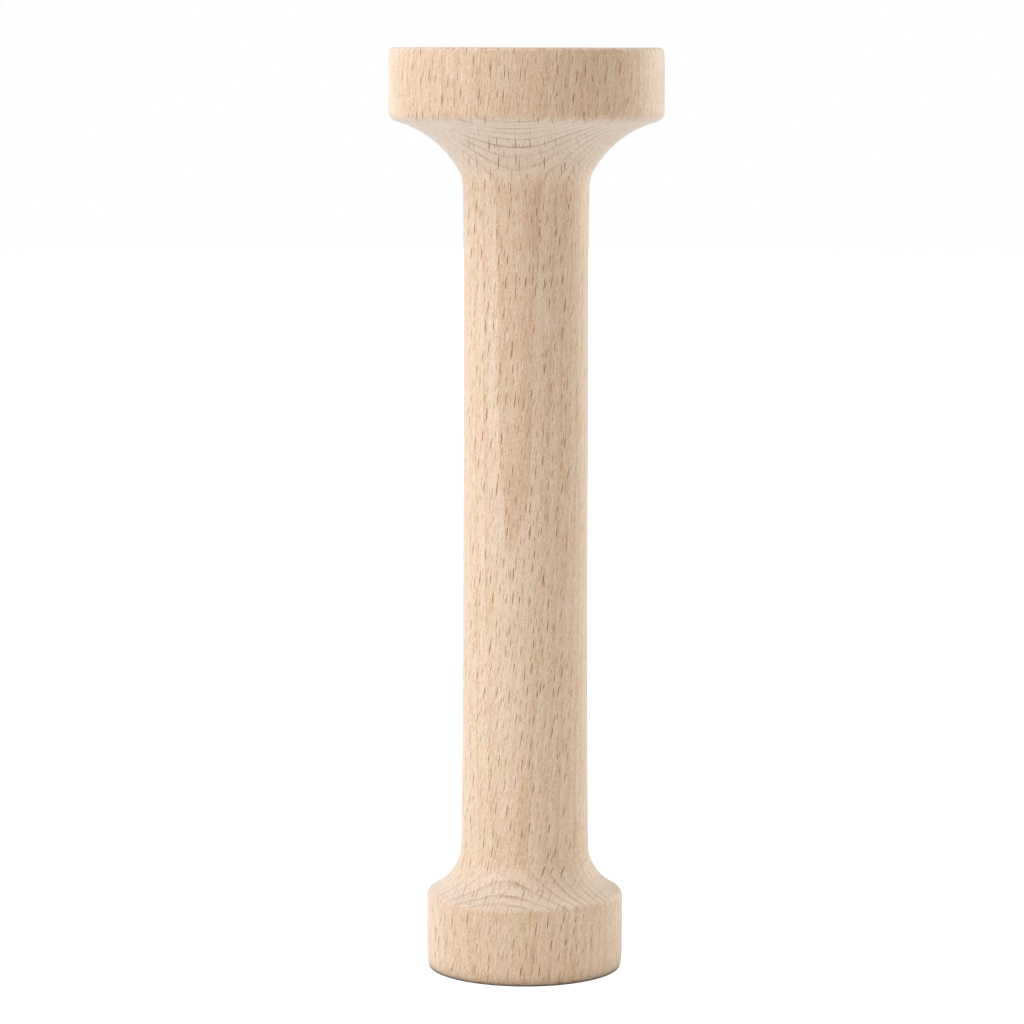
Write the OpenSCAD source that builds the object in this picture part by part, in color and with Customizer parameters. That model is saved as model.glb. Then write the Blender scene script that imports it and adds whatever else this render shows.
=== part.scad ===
// Double-ended wooden meat mallet, turned on the lathe from one billet of beech.
// The axis is Z, the small foot stands on z = 0 and the broad head is on top.

/* [Overall] */
// Height from the foot face to the head face
overall_length = 200; // [170:1:260]

/* [Head] */
// Diameter of the head
head_d = 59.2; // [52:0.1:70]
// Depth of the straight rim, from the head face to where its lower edge starts to round
rim_depth = 13.5; // [10:0.1:20]
// Radius that softens the edge of the head face
head_edge_r = 1.1; // [0.4:0.1:2]
// Radius that softens the lower edge of the rim
rim_edge_r = 2.3; // [1:0.1:4]
// Height of the hollow under the head, measured from the end of the straight rim
head_hollow_h = 14.5; // [14:0.1:17]
// Radius of the hollow under the head
head_hollow_r = 21.7; // [20:0.1:30]

/* [Grip] */
// Diameter of the grip at its narrowest
grip_d = 26.8; // [24:0.1:30]
// Extra diameter where the grip runs into the head
grip_head_flare = 0.4; // [0:0.1:1]
// Extra diameter where the grip runs into the foot
grip_foot_flare = 1.1; // [0:0.1:1.5]
// Height of the grip's narrowest place
waist_z = 145; // [80:1:150]

/* [Foot] */
// Diameter of the foot
foot_d = 42.9; // [40:0.1:50]
// Height of the foot's straight wall, up to where its shoulder starts to round
foot_wall_h = 15.6; // [12:0.1:20]
// Radius that softens the shoulder of the foot
shoulder_r = 1.7; // [1:0.1:3]
// Height of the hollow above the foot, measured from the end of the straight wall
foot_hollow_h = 9.9; // [9:0.1:12]
// Radius of the hollow above the foot
foot_hollow_r = 12.3; // [11:0.1:16]
// Radius of the sanded lower edge of the foot
foot_edge_r = 16; // [2:0.5:18]
// How far the sanded lower edge draws in at the foot face
foot_edge_inset = 0.5; // [0.2:0.1:1]

/* [Hidden] */
$fn = 192;

head_r = head_d / 2;
foot_r = foot_d / 2;
grip_r = grip_d / 2;

// Where the rim's lower rounding and the foot's shoulder rounding are centred
rim_centre = [head_r - rim_edge_r, overall_length - rim_depth];
shoulder_centre = [foot_r - shoulder_r, foot_wall_h];

// Where each hollow meets the grip
grip_top = [grip_r + grip_head_flare / 2, rim_centre.y - head_hollow_h];
grip_bottom = [grip_r + grip_foot_flare / 2, shoulder_centre.y + foot_hollow_h];

// Centre of a circle of radius r through the point p that also touches, from outside,
// the circle of radius edge_r about c. Of the two such centres it is the outer one.
function hollow_centre(p, r, c, edge_r) =
    let (
        span = norm(c - p),
        reach = r + edge_r,
        along = (span * span + r * r - reach * reach) / (2 * span),
        across = sqrt(r * r - along * along),
        dir = (c - p) / span,
        side = c.y > p.y ? [dir.y, -dir.x] : [-dir.y, dir.x]
    )
    p + along * dir + across * side;

head_hollow_centre = hollow_centre(grip_top, head_hollow_r, rim_centre, rim_edge_r);
foot_hollow_centre = hollow_centre(grip_bottom, foot_hollow_r, shoulder_centre, shoulder_r);

// The grip's flare grows as the square of the distance from the waist
flare_steps = 8;
function flare(end, i) =
    let (t = i / flare_steps)
    [grip_r + (end.x - grip_r) * pow(t, 2), waist_z + (end.y - waist_z) * t];

// How far each section runs on inside its neighbour, so that all of them are one solid
overlap = 3;

// Height at which the foot's sanded edge starts
foot_edge_z = sqrt(foot_edge_r * foot_edge_r - pow(foot_edge_r - foot_edge_inset, 2));

// Half of the head: the straight rim with both of its edges rounded
module head_section() {
    translate([0, rim_centre.y])
        square([head_r, rim_depth - head_edge_r]);
    translate([0, rim_centre.y])
        square([head_r - head_edge_r, rim_depth]);
    translate([head_r - head_edge_r, overall_length - head_edge_r])
        circle(head_edge_r);
    translate(rim_centre)
        circle(rim_edge_r);
}

// Half of the sweep that carries the head down to the grip
module head_hollow_section() {
    difference() {
        polygon([
            [0, rim_centre.y + overlap], rim_centre + [0, overlap], rim_centre,
            head_hollow_centre, [grip_r, grip_top.y], [0, grip_top.y]
        ]);
        translate(head_hollow_centre)
            circle(head_hollow_r);
        translate([grip_r, head_hollow_centre.y - head_hollow_r])
            square([head_r, grip_top.y - head_hollow_centre.y + head_hollow_r]);
    }
}

// Half of the grip, slightly waisted
module grip_section() {
    polygon(concat(
        [[0, grip_bottom.y - overlap], grip_bottom - [0, overlap]],
        [for (i = [flare_steps:-1:1]) flare(grip_bottom, i)],
        [for (i = [0:flare_steps]) flare(grip_top, i)],
        [grip_top + [0, overlap], [0, grip_top.y + overlap]]
    ));
}

// Half of the sweep that carries the grip out to the foot
module foot_hollow_section() {
    difference() {
        polygon([
            [0, grip_bottom.y], [grip_r, grip_bottom.y], foot_hollow_centre,
            shoulder_centre, shoulder_centre - [0, overlap],
            [0, shoulder_centre.y - overlap]
        ]);
        translate(foot_hollow_centre)
            circle(foot_hollow_r);
        translate([grip_r, grip_bottom.y])
            square([foot_r, foot_hollow_r]);
    }
}

// Half of the foot: rounded shoulder, straight wall and sanded lower edge
module foot_section() {
    translate(shoulder_centre)
        circle(shoulder_r);
    translate([0, foot_edge_z])
        square([foot_r, foot_wall_h - foot_edge_z]);
    intersection() {
        square([foot_r, foot_wall_h]);
        translate([foot_r - foot_edge_r, foot_edge_z])
            circle(foot_edge_r);
    }
    square([foot_r - foot_edge_r, foot_wall_h]);
}

// The whole mallet is a single turned piece with no joint in it
module turned_body() {
    color([0.84, 0.73, 0.60]) {
        rotate_extrude() head_section();
        rotate_extrude() head_hollow_section();
        rotate_extrude() grip_section();
        rotate_extrude() foot_hollow_section();
        rotate_extrude() foot_section();
    }
}

turned_body();
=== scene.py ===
"""A turned beech meat mallet: one piece of wood on a white studio floor."""
import math

import bpy
import numpy as np
from mathutils import Matrix, Vector


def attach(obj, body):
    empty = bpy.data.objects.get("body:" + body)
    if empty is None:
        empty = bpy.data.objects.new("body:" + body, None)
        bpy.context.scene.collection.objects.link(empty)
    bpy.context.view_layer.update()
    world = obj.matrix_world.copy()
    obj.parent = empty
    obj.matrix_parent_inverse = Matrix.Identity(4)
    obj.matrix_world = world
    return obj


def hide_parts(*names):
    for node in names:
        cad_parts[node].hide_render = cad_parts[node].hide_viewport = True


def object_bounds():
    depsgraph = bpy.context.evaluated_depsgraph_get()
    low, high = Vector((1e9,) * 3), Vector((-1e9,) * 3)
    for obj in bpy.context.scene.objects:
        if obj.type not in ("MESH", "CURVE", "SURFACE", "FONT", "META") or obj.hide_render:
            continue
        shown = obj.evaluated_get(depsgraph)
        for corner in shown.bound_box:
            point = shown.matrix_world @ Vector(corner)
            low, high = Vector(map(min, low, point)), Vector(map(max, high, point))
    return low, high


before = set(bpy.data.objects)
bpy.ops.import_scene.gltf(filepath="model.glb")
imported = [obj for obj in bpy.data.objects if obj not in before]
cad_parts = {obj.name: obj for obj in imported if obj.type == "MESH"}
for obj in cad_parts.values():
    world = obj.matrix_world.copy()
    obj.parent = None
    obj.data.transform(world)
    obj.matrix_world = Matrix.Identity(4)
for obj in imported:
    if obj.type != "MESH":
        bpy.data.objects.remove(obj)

CAD_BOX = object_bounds()
MM = 0.001
TURN = 2 * math.pi

# The outline, in millimetres. Overall height and head width come from the frame.
HEIGHT = (CAD_BOX[1].z - CAD_BOX[0].z) / MM
HEAD_R = (CAD_BOX[1].x - CAD_BOX[0].x) / 2 / MM
RIM_DEPTH = 13.56
HEAD_EDGE_R = 0.9
HEAD_CROWN = 0.15
HEAD_CROWN_H = 5.0
RIM_EDGE_R = 2.3
HEAD_HOLLOW_H = 14.3
HEAD_HOLLOW_R = 22.1
GRIP_R = 13.47
GRIP_HEAD_FLARE = 0.19
GRIP_FOOT_FLARE = 0.49
WAIST_Z = 145.0
FOOT_R = 21.45
FOOT_WALL_H = 15.55
SHOULDER_R = 1.75
FOOT_HOLLOW_H = 10.0
FOOT_HOLLOW_R = 12.3
FOOT_EDGE_R = 16.0
FOOT_EDGE_INSET = 0.5
FOOT_ARRIS_R = 0.60

# The mesh, in millimetres. A wall or face counts as straight when its normal's part straight out
# or straight up is over STRAIGHT_NORMAL.
SEGMENTS = 480
HUB_R = 0.4
SAME_POINT = 0.02
CREASE_REACH = 1.2
STRAIGHT_NORMAL = 0.999

# Wear, in millimetres. Lengths are the shortest and longest waves. It is full where the normal's
# part straight out is over 1 / STEEP_GAIN, and there is none on the two flat faces.
TURNING_SEED = 7
STEEP_GAIN = 1.5
UNEVEN_DEPTH = 0.03
UNEVEN_LENGTHS = (14, 60)
UNEVEN_WAVES = 12
TOOL_RING_DEPTH = 0.012
TOOL_RING_LENGTHS = (2.5, 11)
TOOL_RING_WAVES = 14

# Nicks where fibres broke away at an edge: how many, then the least and most depth, width and
# run of one, in millimetres. On the head and the rim they lie in from the corner by NICK_INSET of
# the edge's radius, and on the rim they lie RIM_NICK_DROP of it below the straight wall.
NICK_INSET = 0.3
RIM_NICK_DROP = 0.8
HEAD_NICKS = (150, (0.02, 0.17), (0.3, 0.6), (0.4, 1.3))
RIM_NICKS = (60, (0.02, 0.08), (0.3, 0.6), (0.4, 1.2))
SHOULDER_NICKS = (40, (0.02, 0.06), (0.3, 0.6), (0.4, 1.2))
FOOT_NICKS = (60, (0.02, 0.10), (0.3, 0.6), (0.3, 0.8))

# The tree the billet came from, in millimetres. Its pith runs in front of the mallet and to the
# left, and leans to the right as it climbs, a little less the higher it is.
PITH = (-38.0, -145.0)
PITH_LEAN = (0.138, -0.001)
PITH_BOW = -0.00016
PITH_FAR = 148.0
INNER_WOOD = (129.0, 134.0)
FIBRE_WANDER = 1.5
WANDER_SIZE = (30.0, 50.0)

# Growth rings. Drift, bend and ripple move them in or out by up to so many millimetres, over
# features of the size given. One year grew darker than the rest.
RING_PITCH = 1.98
RING_PHASE = 0.69
RING_DRIFT = 1.2
RING_DRIFT_SIZE = 4.0
RING_BEND = 1.0
RING_BEND_SIZE = (22.0, 90.0)
RING_RIPPLE = 0.7
RING_RIPPLE_SIZE = (4.5, 20.0)
DARK_YEAR = 68.0

# The part of a year over which late wood and the ring line come, and over which they end
LATE_COMES = (0.1, 0.9)
LATE_ENDS = (0.98, 1.0)
LINE_COMES = (0.60, 0.90)
LINE_ENDS = (0.94, 1.0)

# Ring lines are weaker in some years and in some patches, and where the surface is quarter-sawn
LINE_YEARS = (0.5, 1.0)
LINE_PATCHES = (0.35, 0.6, 0.35, 1.0)
LINE_PATCH_SIZE = (9.0, 9.0)
LINE_PATCH_START = 9.1
LINE_QUARTER_SAWN = (0.3, 0.9, 1.0, 0.35)

# Sizes of the rays' cells and of the grain, round the tree, up it and out from the pith, and
# half the width and height of a ray. Rays differ in size and in strength by chance, and fade out
# towards their edge.
BIG_RAY_CELL = (2.2, 4.9, 7.0)
BIG_RAY_HALF = (0.15, 2.0)
SMALL_RAY_CELL = (1.5, 3.6, 5.0)
SMALL_RAY_HALF = (0.115, 1.3)
RAY_SIZES = (0.6, 1.0)
RAY_STRENGTHS = (0.0, 0.72, 0.25, 1.0)
RAY_FADES = (0.55, 1.0, 1.0, 0.0)
PORE_SIZE = (0.15, 0.6, 0.15)
HAIR_SIZE = (0.20, 5.0, 0.20)
STREAK_SIZE = (0.9, 22.0, 0.9)

# Sizes of the slow changes across the wood and up it, and the length of the sanding marks and
# how many come to a millimetre
STAIN_SIZE = (3.0, 11.0)
BLOTCH_SIZE = (4.0, 12.0)
SANDING_LENGTH = 2.5
SANDING_PER_MM = 6.0

# Where each mark fades in: the low and high value, and its strength at each
END_GRAIN = (0.15, 0.90)
# End grain takes more of its paler colour on faces turned down than on faces turned up; this is
# partly painted light
END_GRAIN_BY_FACING = (-0.6, 0.6, 0.90, 0.55)
FLAT_FACE = (0.15, 0.80)
BLOTCH_TURNS = (0.36, 0.64)
STAIN_SHOWS = (0.64, 0.76)
STREAK_SHOWS = (0.35, 0.72)
LINE_SHOWS = (0.0, 1.0, 0.22, 1.0)
HAIR_DARK = (0.50, 0.76, 0.0, 0.29)
HAIR_LIGHT = (0.24, 0.46, 0.62, 0.0)
PORE_DARK = (0.50, 0.78, 0.0, 0.46)
PORE_LIGHT = (0.22, 0.46, 0.68, 0.0)
SMALL_RAY_SHOWS = (0.0, 1.0, 0.15, 0.65)
BIG_RAY_SHOWS = (0.0, 1.0, 0.22, 1.0)

# Colours, as linear light
BEECH_OUTER = (0.752, 0.536, 0.361)
BEECH_INNER = (0.808, 0.597, 0.423)
# Paler, cooler end grain: partly the wood's own colour, partly painted light
BEECH_END_GRAIN_AND_PAINTED_LIGHT = (0.688, 0.566, 0.460)
BEECH_LIGHT = (0.900, 0.750, 0.600)
BEECH_LINE = (0.400, 0.230, 0.130)
BEECH_RAY = (0.290, 0.105, 0.020)
YELLOW_TINT = (0.990, 1.010, 0.985)
PINK_TINT = (1.015, 0.985, 1.000)
LATE_TINT = (0.970, 0.903, 0.815)
DARK_YEAR_TINT = (0.960, 0.943, 0.945)
STREAK_TINT = (0.950, 0.900, 0.840)
STAIN_TINT = (0.965, 0.880, 0.765)

# The surface. Relief is how far each mark stands up or lies in, as a share of the grain depth.
GRAIN_DEPTH = 0.03
RELIEF = {"hair": 0.45, "sanding": 0.15, "big_ray": -0.8, "small_ray": -0.3, "line": -0.3}
ROUGH_STREAKS = (0.2, 0.8, 0.46, 0.56)
ROUGH_RAY = -0.12
ROUGH_END = 0.10
BEECH_IOR = 1.60
SHEEN = 0.30
SHEEN_ROUGH = 0.40

# The camera, in millimetres, with its roll in radians
MIDDLE = (CAD_BOX[0] + CAD_BOX[1]) / 2
CAMERA_DISTANCE = 836.0
CAMERA_HEIGHT = 200.8
AIM_LEFT = -2.93
CAMERA_ROLL = 0.0019
LENS = 136.6
SENSOR = 36

# The floor, a disc FLOOR_R metres in radius. Its other radii are in millimetres from the mallet's
# axis: its colour is painted dark, a painted contact shadow, where the foot's edge shuts out the
# light, and the camera sees it glow more just outside there, and again far away.
FLOOR_R = 3.0
FLOOR_SIDES = 96
FLOOR_ROUGH = 0.9
FLOOR_GLOW = 0.03
FLOOR_WHITE = (0.92, 0.92, 0.92)
FLOOR_PAINTED_SHADOW = (0.03, 0.02, 0.015)
FLOOR_SHADE_R = (21.0, 23.5)
FLOOR_NEAR_R = (20.72, 21.05)
FLOOR_NEAR_GLOW = 1.0
FLOOR_FAR_R = (120.0, 700.0)
FLOOR_FAR_GLOW = 0.2

# The lights: azimuth and elevation in degrees, watts and colour. Azimuth 0 is on the camera's
# side and 90 is to its right. Distance and size are in metres.
LEFT_WHITE = (0.93, 1.00, 1.10)
BACK_WHITE = (0.88, 1.00, 1.15)
RIGHT_WHITE = (0.97, 1.03, 0.96)
TOP_WHITE = (1.0, 1.0, 1.0)
SOFTBOXES = {
    "key": (-75, 55, 7.6, LEFT_WHITE),
    "left_fill": (-65, 20, 3.3, LEFT_WHITE),
    "back_left": (-150, 20, 2.5, BACK_WHITE),
    "back_right": (130, 20, 6.1, RIGHT_WHITE),
    "top": (0, 80, 1.4, TOP_WHITE),
}
SOFTBOX_DISTANCE = 1.2
SOFTBOX_SIZE = 0.8
ROOM_LIGHT = 0.49
PLAIN_WHITE = (1, 1, 1, 1)


# ---------------------------------------------------------------- outline

def arc(centre, radius, start, end, count):
    """Points on an arc, both ends included, as (r, z) rows."""
    angles = np.linspace(start, end, count)
    r = centre[0] + radius * np.cos(angles)
    z = centre[1] + radius * np.sin(angles)
    return np.column_stack((r, z))


def heading(from_point, to_point):
    """The angle of the line from one (r, z) point to another."""
    return math.atan2(to_point[1] - from_point[1], to_point[0] - from_point[0])


def hollow_centre(grip_end, radius, corner, corner_r):
    """Centre of the hollow that passes through grip_end and touches a rounded corner."""
    span = math.dist(grip_end, corner)
    reach = radius + corner_r
    along = (span ** 2 + radius ** 2 - reach ** 2) / (2 * span)
    across = math.sqrt(radius ** 2 - along ** 2)
    direction = (corner - grip_end) / span
    side = np.array((direction[1], -direction[0]))
    if corner[1] < grip_end[1]:
        side = -side
    return grip_end + along * direction + across * side


def flare(end, count):
    """The grip's side from its waist to one end. It widens steadily, and faster near the end."""
    t = np.linspace(0, 1, count)
    r = GRIP_R + (end[0] - GRIP_R) * (t + t ** 5) / 2
    z = WAIST_Z + (end[1] - WAIST_Z) * t
    return np.column_stack((r, z))


def crown(count):
    """The rim's side below the head's edge, drawn in slightly towards the top."""
    t = np.linspace(0, 1, count)
    r = HEAD_R - HEAD_CROWN * (1 - t) ** 2
    z = HEIGHT - HEAD_EDGE_R - HEAD_CROWN_H * t
    return np.column_stack((r, z))


def straight(start, end, count):
    """A straight stretch, both ends included."""
    return np.linspace(start, end, count)


def foot_edge_centres():
    """Centres of the foot's wide sanded arc and of the small arc from there to the foot face."""
    wide_z = math.sqrt(FOOT_EDGE_R ** 2 - (FOOT_EDGE_R - FOOT_EDGE_INSET) ** 2)
    wide = np.array((FOOT_R - FOOT_EDGE_R, wide_z))
    reach = math.sqrt((FOOT_EDGE_R - FOOT_ARRIS_R) ** 2 - (wide_z - FOOT_ARRIS_R) ** 2)
    return wide, np.array((wide[0] + reach, FOOT_ARRIS_R))


def upper_side():
    """Stretches from the middle of the head face to the grip's waist. The last number of each is
    how many points it has."""
    edge = np.array((HEAD_R - HEAD_CROWN - HEAD_EDGE_R, HEIGHT - HEAD_EDGE_R))
    crown_foot = (HEAD_R, HEIGHT - HEAD_EDGE_R - HEAD_CROWN_H)
    rim = np.array((HEAD_R - RIM_EDGE_R, HEIGHT - RIM_DEPTH))
    grip_top = np.array((GRIP_R + GRIP_HEAD_FLARE, rim[1] - HEAD_HOLLOW_H))
    hollow = hollow_centre(grip_top, HEAD_HOLLOW_R, rim, RIM_EDGE_R)
    return [
        straight((HUB_R, HEIGHT), (edge[0], HEIGHT), 12),
        arc(edge, HEAD_EDGE_R, TURN / 4, 0, 9),
        crown(10),
        straight(crown_foot, (HEAD_R, rim[1]), 6),
        arc(rim, RIM_EDGE_R, 0, heading(rim, hollow), 12),
        arc(hollow, HEAD_HOLLOW_R, heading(hollow, rim), heading(hollow, grip_top), 30),
        flare(grip_top, 24)[::-1],
    ]


def lower_side():
    """Stretches from the grip's waist to the middle of the foot face. The last number of each is
    how many points it has."""
    shoulder = np.array((FOOT_R - SHOULDER_R, FOOT_WALL_H))
    grip_foot = np.array((GRIP_R + GRIP_FOOT_FLARE, shoulder[1] + FOOT_HOLLOW_H))
    hollow = hollow_centre(grip_foot, FOOT_HOLLOW_R, shoulder, SHOULDER_R)
    hollow_start = heading(hollow, grip_foot) % TURN
    hollow_end = heading(hollow, shoulder) % TURN
    wide, small = foot_edge_centres()
    small_start = heading(wide, small)
    return [
        flare(grip_foot, 34),
        arc(hollow, FOOT_HOLLOW_R, hollow_start, hollow_end, 22),
        arc(shoulder, SHOULDER_R, heading(shoulder, hollow), 0, 9),
        straight((FOOT_R, FOOT_WALL_H), (FOOT_R, wide[1]), 10),
        arc(wide, FOOT_EDGE_R, 0, small_start, 9),
        arc(small, FOOT_ARRIS_R, small_start, -TURN / 4, 4),
        straight((small[0], 0.0), (HUB_R, 0.0), 8),
    ]


def outline():
    """The mallet's side from the middle of the head face to the middle of the foot face."""
    points = np.vstack(upper_side() + lower_side())
    steps = np.linalg.norm(np.diff(points, axis=0), axis=1)
    return points[np.concatenate(([True], steps > SAME_POINT))]


def soften(points, z, reach, passes=3):
    """Rounds the crease at height z, where the sanding cloth has run over it."""
    near = np.exp(-((points[:, 1] - z) / reach) ** 2)[1:-1, None]
    for _ in range(passes):
        points[1:-1] += near * ((points[:-2] + points[2:]) / 2 - points[1:-1]) / 2
    return points


def outward(points):
    """Unit normals of the outline, as (r, z) rows."""
    along = np.gradient(points, axis=0)
    normals = np.column_stack((-along[:, 1], along[:, 0]))
    return normals / np.linalg.norm(normals, axis=1)[:, None]


# ---------------------------------------------------------------- turned surface

def waves(a, b, rng, count, lengths):
    """A smooth uneven field over two coordinates in mm, about -1 to 1."""
    total = np.zeros(np.broadcast(a, b).shape)
    for _ in range(count):
        angle = rng.uniform(0, math.pi)
        length = rng.uniform(*lengths)
        phase = rng.uniform(0, TURN)
        along = math.cos(angle) * a + math.sin(angle) * b
        total += np.sin(TURN / length * along + phase)
    return total / math.sqrt(count)


def share(field):
    """A field of about -1 to 1, or the sum of two, as a share from 0 to 1."""
    return np.clip(0.5 + 0.25 * field, 0, 1)


def nicks(theta, points, edge, rng, count, depth, width, run):
    """Small losses where fibres broke away at an edge: mm for each ring and segment."""
    lost = np.zeros((len(points), len(theta)))
    away = np.linalg.norm(points - edge, axis=1)[:, None]
    for _ in range(count):
        turn = (theta - rng.uniform(0, TURN) + math.pi) % TURN - math.pi
        across = turn[None, :] * edge[0] / rng.uniform(*width)
        loss = rng.uniform(*depth) * np.exp(-across ** 2)
        lost += loss * np.exp(-(away / rng.uniform(*run)) ** 2)
    return lost


def nicked_edges():
    """The edges where fibres broke away: the place of each, as (r, z), and its nicks."""
    inset = NICK_INSET * HEAD_EDGE_R
    rim_z = HEIGHT - RIM_DEPTH - RIM_NICK_DROP * RIM_EDGE_R
    return [
        ((HEAD_R - HEAD_CROWN - inset, HEIGHT - inset), HEAD_NICKS),
        ((HEAD_R - NICK_INSET * RIM_EDGE_R, rim_z), RIM_NICKS),
        ((FOOT_R, FOOT_WALL_H), SHOULDER_NICKS),
        ((FOOT_R - FOOT_EDGE_INSET, 0.0), FOOT_NICKS),
    ]


def worn_depth(theta, points, normals):
    """How far the surface is worn in, in mm for each ring and segment. The two faces stay flat."""
    rng = np.random.default_rng(TURNING_SEED)
    r = points[:, :1]
    z = points[:, 1:]
    uneven = waves(r * np.sin(theta), z, rng, UNEVEN_WAVES, UNEVEN_LENGTHS)
    uneven += waves(r * np.cos(theta), z, rng, UNEVEN_WAVES, UNEVEN_LENGTHS)
    tool_rings = waves(z, 0 * z, rng, TOOL_RING_WAVES, TOOL_RING_LENGTHS)
    side = np.clip(np.abs(normals[:, :1]) * STEEP_GAIN, 0, 1)
    worn = side * (UNEVEN_DEPTH * share(uneven) + TOOL_RING_DEPTH * share(tool_rings))
    for edge, settings in nicked_edges():
        worn = worn + nicks(theta, points, edge, rng, *settings)
    return worn


def worn_rings(theta, points):
    """The outline swept round and worn in, never outward: a ring of (x, y, z) for each point. On
    the straight walls and on the faces a point keeps its height."""
    normals = outward(points)
    worn = worn_depth(theta, points, normals)
    r = points[:, :1] - normals[:, :1] * worn
    z = np.clip(points[:, 1:] - normals[:, 1:] * worn, 0, HEIGHT)
    wall = normals[:, :1] > STRAIGHT_NORMAL
    face = np.abs(normals[:, 1:]) > STRAIGHT_NORMAL
    z = np.where(wall | face, points[:, 1:], z)
    return np.stack((r * np.sin(theta), -r * np.cos(theta), z), axis=-1)


def ring_faces(count):
    """Quads between the rings, and fans from the first and last ring to the two hubs that follow
    the rings."""
    ring, j = np.meshgrid(np.arange(count - 1), np.arange(SEGMENTS), indexing="ij")
    k = (j + 1) % SEGMENTS
    above = ring * SEGMENTS
    below = above + SEGMENTS
    quads = np.stack((above + j, below + j, below + k, above + k), axis=-1)
    a = np.arange(SEGMENTS)
    b = (a + 1) % SEGMENTS
    last = (count - 1) * SEGMENTS
    hub = np.full(SEGMENTS, count * SEGMENTS)
    faces = quads.reshape(-1, 4).tolist()
    faces += np.column_stack((a, b, hub)).tolist()
    faces += np.column_stack((last + b, last + a, hub + 1)).tolist()
    return faces


def turned_mesh():
    """The mallet's surface, in metres."""
    points = soften(outline(), HEIGHT - RIM_DEPTH - HEAD_HOLLOW_H, CREASE_REACH)
    points = soften(points, FOOT_WALL_H + FOOT_HOLLOW_H, CREASE_REACH)
    theta = np.linspace(0, TURN, SEGMENTS, endpoint=False)
    rings = worn_rings(theta, points)
    hubs = np.array(((0, 0, HEIGHT), (0, 0, 0)))
    verts = np.vstack((rings.reshape(-1, 3), hubs)) * MM
    mesh = bpy.data.meshes.new("turned_beech")
    mesh.from_pydata(verts.tolist(), [], ring_faces(len(points)))
    mesh.validate()
    mesh.shade_smooth()
    return mesh


# ---------------------------------------------------------------- material

class Graph:
    """Short ways to add and link shader nodes."""

    def __init__(self, tree):
        self.tree = tree
        tree.nodes.clear()

    def add(self, kind, **settings):
        """A new node with these settings."""
        made = self.tree.nodes.new(kind)
        for name, value in settings.items():
            setattr(made, name, value)
        return made

    def put(self, socket, value):
        """Links a socket to an output, or sets it to a plain value."""
        if isinstance(value, bpy.types.NodeSocket):
            self.tree.links.new(value, socket)
        else:
            socket.default_value = value

    def math(self, operation, *values):
        """The result of one operation on up to three values."""
        made = self.add("ShaderNodeMath", operation=operation)
        for socket, value in zip(made.inputs, values):
            self.put(socket, value)
        return made.outputs[0]

    def length(self, x, y):
        """How far the point (x, y) is from the origin."""
        squared = self.math("ADD", self.math("MULTIPLY", x, x), self.math("MULTIPLY", y, y))
        return self.math("SQRT", squared)

    def xyz(self, x, y, z):
        """A vector from its three parts."""
        made = self.add("ShaderNodeCombineXYZ")
        for socket, value in zip(made.inputs, (x, y, z)):
            self.put(socket, value)
        return made.outputs[0]

    def split(self, vector):
        """The three parts of a vector or colour."""
        made = self.add("ShaderNodeSeparateXYZ")
        self.put(made.inputs[0], vector)
        return made.outputs

    def noise(self, vector, detail):
        """Smooth noise, 0 to 1, one feature to each unit of the vector."""
        made = self.add("ShaderNodeTexNoise")
        self.put(made.inputs["Vector"], vector)
        self.put(made.inputs["Scale"], 1.0)
        self.put(made.inputs["Detail"], detail)
        return made.outputs["Fac"]

    def cells(self, vector):
        """One random point per unit cell: the offset from the nearest, and its own chances."""
        made = self.add("ShaderNodeTexVoronoi")
        self.put(made.inputs["Vector"], vector)
        self.put(made.inputs["Scale"], 1.0)
        offset = self.add("ShaderNodeVectorMath", operation="SUBTRACT")
        self.put(offset.inputs[0], vector)
        self.put(offset.inputs[1], made.outputs["Position"])
        return self.split(offset.outputs[0]), self.split(made.outputs["Color"])

    def ramp(self, value, low, high, to_low=0.0, to_high=1.0, smooth=True):
        """Maps low..high to to_low..to_high and holds it there outside."""
        kind = "SMOOTHSTEP" if smooth else "LINEAR"
        made = self.add("ShaderNodeMapRange", interpolation_type=kind)
        names = ("Value", "From Min", "From Max", "To Min", "To Max")
        for name, number in zip(names, (value, low, high, to_low, to_high)):
            self.put(made.inputs[name], number)
        return made.outputs[0]

    def mix(self, factor, one, other, blend="MIX"):
        """One colour blended with the other by the factor."""
        made = self.add("ShaderNodeMix", data_type="RGBA", blend_type=blend)
        self.put(made.inputs["Factor"], factor)
        for name, colour in (("A", one), ("B", other)):
            linked = isinstance(colour, bpy.types.NodeSocket)
            self.put(made.inputs[name], colour if linked else (*colour, 1))
        return [s for s in made.outputs if s.type == "RGBA"][0]

    def show(self, shader, output="ShaderNodeOutputMaterial"):
        """Makes this shader the one that is seen."""
        surface = self.add(output)
        self.put(surface.inputs["Surface"], shader.outputs[0])


def wood_places(g):
    """Where the surface lies in the tree, in mm: out from the pith, around it and up."""
    coords = g.add("ShaderNodeTexCoord")
    scaled = g.add("ShaderNodeVectorMath", operation="SCALE")
    g.put(scaled.inputs[0], coords.outputs["Object"])
    g.put(scaled.inputs["Scale"], 1 / MM)
    x, y, z = g.split(scaled.outputs[0])
    lean = g.math("MULTIPLY_ADD", z, PITH_BOW, PITH_LEAN[0])
    right = g.math("SUBTRACT", x, g.math("MULTIPLY_ADD", z, lean, PITH[0]))
    back = g.math("SUBTRACT", y, g.math("MULTIPLY_ADD", z, PITH_LEAN[1], PITH[1]))
    p = {"x": x, "y": y, "z": z, "right": right, "back": back, "out": g.length(right, back)}
    p["normal"] = g.split(coords.outputs["Normal"])
    turn = g.math("ARCTAN2", right, back)
    wander = g.math("MULTIPLY", drift(g, p, *WANDER_SIZE), FIBRE_WANDER)
    p["around"] = g.math("MULTIPLY_ADD", turn, PITH_FAR, wander)
    return p


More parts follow.
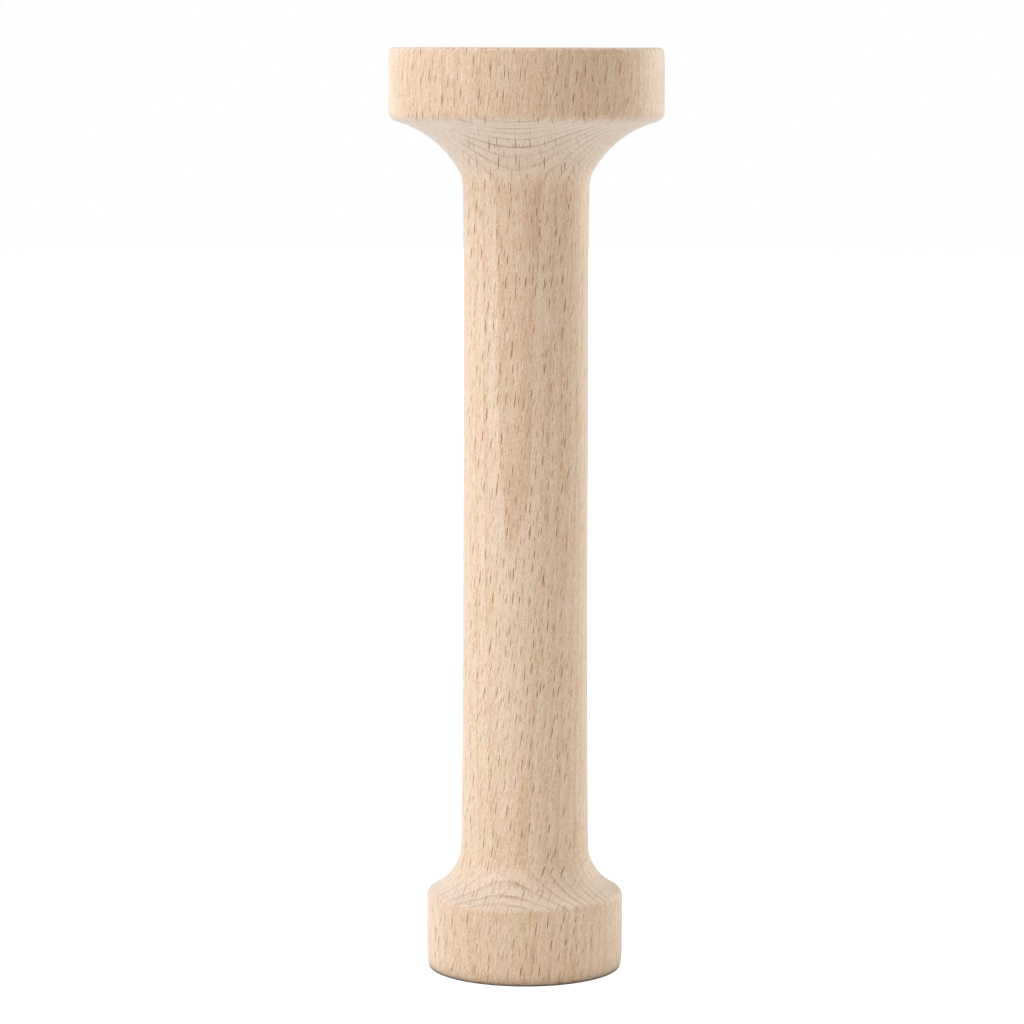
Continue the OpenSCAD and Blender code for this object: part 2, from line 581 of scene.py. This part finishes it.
def drift(g, p, across, up, detail=1.0, start=0.0):
    """Noise that varies slowly through the wood. Its features are across and up mm in size, and
    start picks the stretch of noise that is used."""
    x = g.math("MULTIPLY_ADD", p["x"], 1 / across, start)
    y = g.math("DIVIDE", p["y"], across)
    return g.noise(g.xyz(x, y, g.math("DIVIDE", p["z"], up)), detail)


def along_fibre(g, p, width, length, depth):
    """Coordinates that follow the fibres, in units of these sizes in mm."""
    around = g.math("DIVIDE", p["around"], width)
    return g.xyz(around, g.math("DIVIDE", p["z"], length), g.math("DIVIDE", p["out"], depth))


def grain(g, p, size, detail=1.0):
    """Noise drawn out along the fibres."""
    return g.noise(along_fibre(g, p, *size), detail)


def sanding_marks(g, p):
    """Noise drawn out across the fibres."""
    x = g.math("DIVIDE", p["x"], SANDING_LENGTH)
    y = g.math("DIVIDE", p["y"], SANDING_LENGTH)
    return g.noise(g.xyz(x, y, g.math("MULTIPLY", p["z"], SANDING_PER_MM)), 1.0)


def rays(g, p, cell, half):
    """The medullary rays: upright lenses that run outward from the pith. 1 inside a strong ray."""
    offset, chance = g.cells(along_fibre(g, p, *cell))
    size = g.ramp(chance[0], 0.0, 1.0, *RAY_SIZES, smooth=False)
    across = g.math("DIVIDE", g.math("MULTIPLY", offset[0], cell[0] / half[0]), size)
    up = g.math("DIVIDE", g.math("MULTIPLY", offset[1], cell[1] / half[1]), size)
    edge = g.math("ADD", g.math("ABSOLUTE", across), g.math("MULTIPLY", up, up))
    strength = g.ramp(chance[1], *RAY_STRENGTHS, smooth=False)
    return g.math("MULTIPLY", g.ramp(edge, *RAY_FADES), strength)


def flat_sawn(g, p):
    """1 where the surface faces straight at the pith or away from it, down to 0."""
    x = g.math("MULTIPLY", p["normal"][0], p["right"])
    y = g.math("MULTIPLY", p["normal"][1], p["back"])
    return g.math("ABSOLUTE", g.math("DIVIDE", g.math("ADD", x, y), p["out"]))


def quarter_sawn(g, p):
    """1 where the surface faces straight along the rings, down to 0."""
    x = g.math("MULTIPLY", p["normal"][0], p["back"])
    y = g.math("MULTIPLY", p["normal"][1], p["right"])
    return g.math("ABSOLUTE", g.math("DIVIDE", g.math("SUBTRACT", x, y), p["out"]))


def years_from_pith(g, p):
    """The years of growth inside each place, with the part of the year it grew in."""
    place = g.math("DIVIDE", p["out"], RING_DRIFT_SIZE)
    shift = g.noise(g.xyz(place, 0.0, 0.0), 1.0)
    shifted = g.math("MULTIPLY_ADD", shift, RING_DRIFT, p["out"])
    shifted = g.math("MULTIPLY_ADD", drift(g, p, *RING_BEND_SIZE), RING_BEND, shifted)
    shifted = g.math("MULTIPLY_ADD", drift(g, p, *RING_RIPPLE_SIZE), RING_RIPPLE, shifted)
    return g.math("ADD", g.math("DIVIDE", shifted, RING_PITCH), RING_PHASE)


def line_strength(g, p, year):
    """How strong a ring line is, which changes from year to year and from place to place."""
    chance = g.add("ShaderNodeTexWhiteNoise", noise_dimensions="1D")
    g.put(chance.inputs["W"], year)
    strength = g.ramp(chance.outputs["Value"], 0.0, 1.0, *LINE_YEARS, smooth=False)
    patches = drift(g, p, *LINE_PATCH_SIZE, start=LINE_PATCH_START)
    strength = g.math("MULTIPLY", strength, g.ramp(patches, *LINE_PATCHES))
    return g.math("MULTIPLY", strength, g.ramp(quarter_sawn(g, p), *LINE_QUARTER_SAWN))


def growth_rings(g, p):
    """The late wood that darkens slowly through each year, the same for the one year that grew
    darkest, and the thin line that ends each year."""
    years = years_from_pith(g, p)
    part = g.math("FRACT", years)
    year = g.math("FLOOR", years)
    late = g.math("MULTIPLY", g.ramp(part, *LATE_COMES), g.ramp(part, *LATE_ENDS, 1.0, 0.0))
    darkest = g.math("MULTIPLY", late, g.math("COMPARE", year, DARK_YEAR, 0.5))
    line = g.math("MULTIPLY", g.ramp(part, *LINE_COMES), g.ramp(part, *LINE_ENDS, 1.0, 0.0))
    return late, darkest, g.math("MULTIPLY", line, line_strength(g, p, year))


def wood_marks(g, p):
    """Everything that shows in the wood, each from 0 to 1."""
    late, darkest, line = growth_rings(g, p)
    return {
        "late": late,
        "darkest": darkest,
        "line": line,
        "big_ray": rays(g, p, BIG_RAY_CELL, BIG_RAY_HALF),
        "small_ray": rays(g, p, SMALL_RAY_CELL, SMALL_RAY_HALF),
        "pore": grain(g, p, PORE_SIZE),
        "hair": grain(g, p, HAIR_SIZE),
        "streak": grain(g, p, STREAK_SIZE, 2.0),
        "stain": drift(g, p, *STAIN_SIZE),
        "blotch": drift(g, p, *BLOTCH_SIZE, 2.0),
        "sanding": sanding_marks(g, p),
        "end_grain": g.ramp(g.math("ABSOLUTE", p["normal"][2]), *END_GRAIN),
    }


def ground_colour(g, p, marks):
    """The wood's colour without the fine marks. Its paler end grain is partly the wood's own
    colour and partly painted light.
    """
    blotches = g.mix(g.ramp(marks["blotch"], *BLOTCH_TURNS), YELLOW_TINT, PINK_TINT)
    end_strength_by_facing = g.ramp(p["normal"][2], *END_GRAIN_BY_FACING)
    colour = g.mix(g.ramp(p["out"], *INNER_WOOD), BEECH_OUTER, BEECH_INNER)
    colour = g.mix(1.0, colour, blotches, "MULTIPLY")
    colour = g.mix(marks["late"], colour, LATE_TINT, "MULTIPLY")
    colour = g.mix(marks["darkest"], colour, DARK_YEAR_TINT, "MULTIPLY")
    colour = g.mix(g.ramp(marks["stain"], *STAIN_SHOWS), colour, STAIN_TINT, "MULTIPLY")
    # Paler, cooler end grain: partly its own colour, partly painted light, more on faces turned
    # down
    return g.mix(g.math("MULTIPLY", marks["end_grain"], end_strength_by_facing), colour, BEECH_END_GRAIN_AND_PAINTED_LIGHT)


def marked_colour(g, p, marks):
    """The wood's colour with its ring lines, streaks, fibres, pores and rays."""
    flat_face = g.ramp(flat_sawn(g, p), *FLAT_FACE)
    line = g.math("MULTIPLY", marks["line"], g.ramp(marks["end_grain"], *LINE_SHOWS))
    small_ray = g.math("MULTIPLY", marks["small_ray"], g.ramp(flat_face, *SMALL_RAY_SHOWS))
    big_ray = g.math("MULTIPLY", marks["big_ray"], g.ramp(flat_face, *BIG_RAY_SHOWS))
    colour = g.mix(line, ground_colour(g, p, marks), BEECH_LINE)
    colour = g.mix(g.ramp(marks["streak"], *STREAK_SHOWS), colour, STREAK_TINT, "MULTIPLY")
    colour = g.mix(g.ramp(marks["hair"], *HAIR_DARK), colour, BEECH_LINE)
    colour = g.mix(g.ramp(marks["hair"], *HAIR_LIGHT), colour, BEECH_LIGHT)
    colour = g.mix(g.ramp(marks["pore"], *PORE_DARK), colour, BEECH_LINE)
    colour = g.mix(g.ramp(marks["pore"], *PORE_LIGHT), colour, BEECH_LIGHT)
    colour = g.mix(small_ray, colour, BEECH_RAY)
    return g.mix(big_ray, colour, BEECH_RAY)


def relief(g, marks):
    """The surface's fine relief, as a bent normal."""
    height = 0.0
    for name, rise in RELIEF.items():
        height = g.math("MULTIPLY_ADD", marks[name], rise, height)
    bump = g.add("ShaderNodeBump")
    g.put(bump.inputs["Strength"], 1.0)
    g.put(bump.inputs["Distance"], GRAIN_DEPTH * MM)
    g.put(bump.inputs["Height"], height)
    return bump.outputs[0]


def roughness(g, marks):
    """Streaks and end grain are rougher, and rays are smoother."""
    rough = g.ramp(marks["streak"], *ROUGH_STREAKS)
    rough = g.math("MULTIPLY_ADD", marks["big_ray"], ROUGH_RAY, rough)
    return g.math("MULTIPLY_ADD", marks["end_grain"], ROUGH_END, rough)


def beech():
    """Steamed beech, sanded and left bare."""
    material = bpy.data.materials.new("beech_bare")
    material.use_nodes = True
    g = Graph(material.node_tree)
    p = wood_places(g)
    marks = wood_marks(g, p)
    shader = g.add("ShaderNodeBsdfPrincipled")
    g.put(shader.inputs["Base Color"], marked_colour(g, p, marks))
    g.put(shader.inputs["Roughness"], roughness(g, marks))
    g.put(shader.inputs["Normal"], relief(g, marks))
    g.put(shader.inputs["IOR"], BEECH_IOR)
    g.put(shader.inputs["Sheen Weight"], SHEEN)
    g.put(shader.inputs["Sheen Roughness"], SHEEN_ROUGH)
    g.show(shader)
    return material


def studio_white():
    """The floor: matt white with a painted contact shadow round the foot, glowing where the camera
    should see it as white as the backdrop.
    """
    material = bpy.data.materials.new("studio_white")
    material.use_nodes = True
    g = Graph(material.node_tree)
    x, y, _ = g.split(g.add("ShaderNodeTexCoord").outputs["Object"])
    reach = g.math("DIVIDE", g.length(x, y), MM)
    # Painted contact shadow: the floor's colour goes dark round the foot
    colour = g.mix(g.ramp(reach, *FLOOR_SHADE_R), FLOOR_PAINTED_SHADOW, FLOOR_WHITE)
    near = g.ramp(reach, *FLOOR_NEAR_R, 0.0, FLOOR_NEAR_GLOW)
    far = g.ramp(reach, *FLOOR_FAR_R, 0.0, FLOOR_FAR_GLOW)
    seen = g.add("ShaderNodeLightPath").outputs["Is Camera Ray"]
    glow = g.math("MULTIPLY_ADD", seen, g.math("ADD", near, far), FLOOR_GLOW)
    shader = g.add("ShaderNodeBsdfPrincipled")
    g.put(shader.inputs["Base Color"], colour)
    g.put(shader.inputs["Roughness"], FLOOR_ROUGH)
    g.put(shader.inputs["Emission Color"], PLAIN_WHITE)
    g.put(shader.inputs["Emission Strength"], glow)
    g.show(shader)
    return material


# ---------------------------------------------------------------- studio

def add_object(name, data):
    """A new object in the scene, made from this mesh, light or camera."""
    made = bpy.data.objects.new(name, data)
    bpy.context.collection.objects.link(made)
    return made


def add_floor():
    """A round pale floor, wide enough to meet the white backdrop out of sight."""
    mesh = bpy.data.meshes.new("floor")
    turn = np.linspace(0, TURN, FLOOR_SIDES, endpoint=False)
    rim = np.column_stack((FLOOR_R * np.cos(turn), FLOOR_R * np.sin(turn), 0 * turn))
    mesh.from_pydata(rim.tolist(), [], [list(range(len(rim)))])
    mesh.materials.append(studio_white())
    floor = add_object("floor", mesh)


def add_softbox(name, azimuth, elevation, watts, colour):
    """A square soft light aimed at the mallet's middle."""
    light = bpy.data.lights.new(name, "AREA")
    light.shape = "SQUARE"
    light.size = SOFTBOX_SIZE
    light.energy = watts
    light.color = colour
    box = add_object(name, light)
    a = math.radians(azimuth)
    e = math.radians(elevation)
    away = Vector((math.sin(a) * math.cos(e), -math.cos(a) * math.cos(e), math.sin(e)))
    box.location = MIDDLE + away * SOFTBOX_DISTANCE
    box.rotation_euler = away.to_track_quat("Z", "Y").to_euler()


def background(g, strength):
    """Plain white light of this strength from all round."""
    made = g.add("ShaderNodeBackground")
    g.put(made.inputs["Color"], PLAIN_WHITE)
    g.put(made.inputs["Strength"], strength)
    return made.outputs[0]


def add_room_light():
    """A white room: seen as plain white, and lighting the mallet more softly than it looks."""
    world = bpy.data.worlds.new("white_room")
    world.use_nodes = True
    bpy.context.scene.world = world
    g = Graph(world.node_tree)
    choose = g.add("ShaderNodeMixShader")
    g.put(choose.inputs[0], g.add("ShaderNodeLightPath").outputs["Is Camera Ray"])
    g.put(choose.inputs[1], background(g, ROOM_LIGHT))
    g.put(choose.inputs[2], background(g, 1.0))
    g.show(choose, "ShaderNodeOutputWorld")


def add_camera():
    """A long lens level with the head's face, aimed at the middle of the mallet."""
    data = bpy.data.cameras.new("camera")
    data.sensor_width = SENSOR
    data.lens = LENS
    camera = add_object("camera", data)
    camera.location = Vector((0, -CAMERA_DISTANCE, CAMERA_HEIGHT)) * MM
    aim = MIDDLE + Vector((AIM_LEFT, 0, 0)) * MM
    level = (aim - camera.location).to_track_quat("-Z", "Y")
    camera.rotation_mode = "QUATERNION"
    camera.rotation_quaternion = level @ Matrix.Rotation(CAMERA_ROLL, 3, "Z").to_quaternion()
    bpy.context.scene.camera = camera


def add_mallet():
    """The one piece of wood, in place of the plain CAD body."""
    mallet = add_object("turned_beech", turned_mesh())
    mallet.data.materials.append(beech())
    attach(mallet, "root")
    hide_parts("turned_body")


add_mallet()
add_floor()
add_room_light()
for name, settings in SOFTBOXES.items():
    add_softbox(name, *settings)
add_camera()
bpy.context.scene.view_settings.view_transform = "Standard"
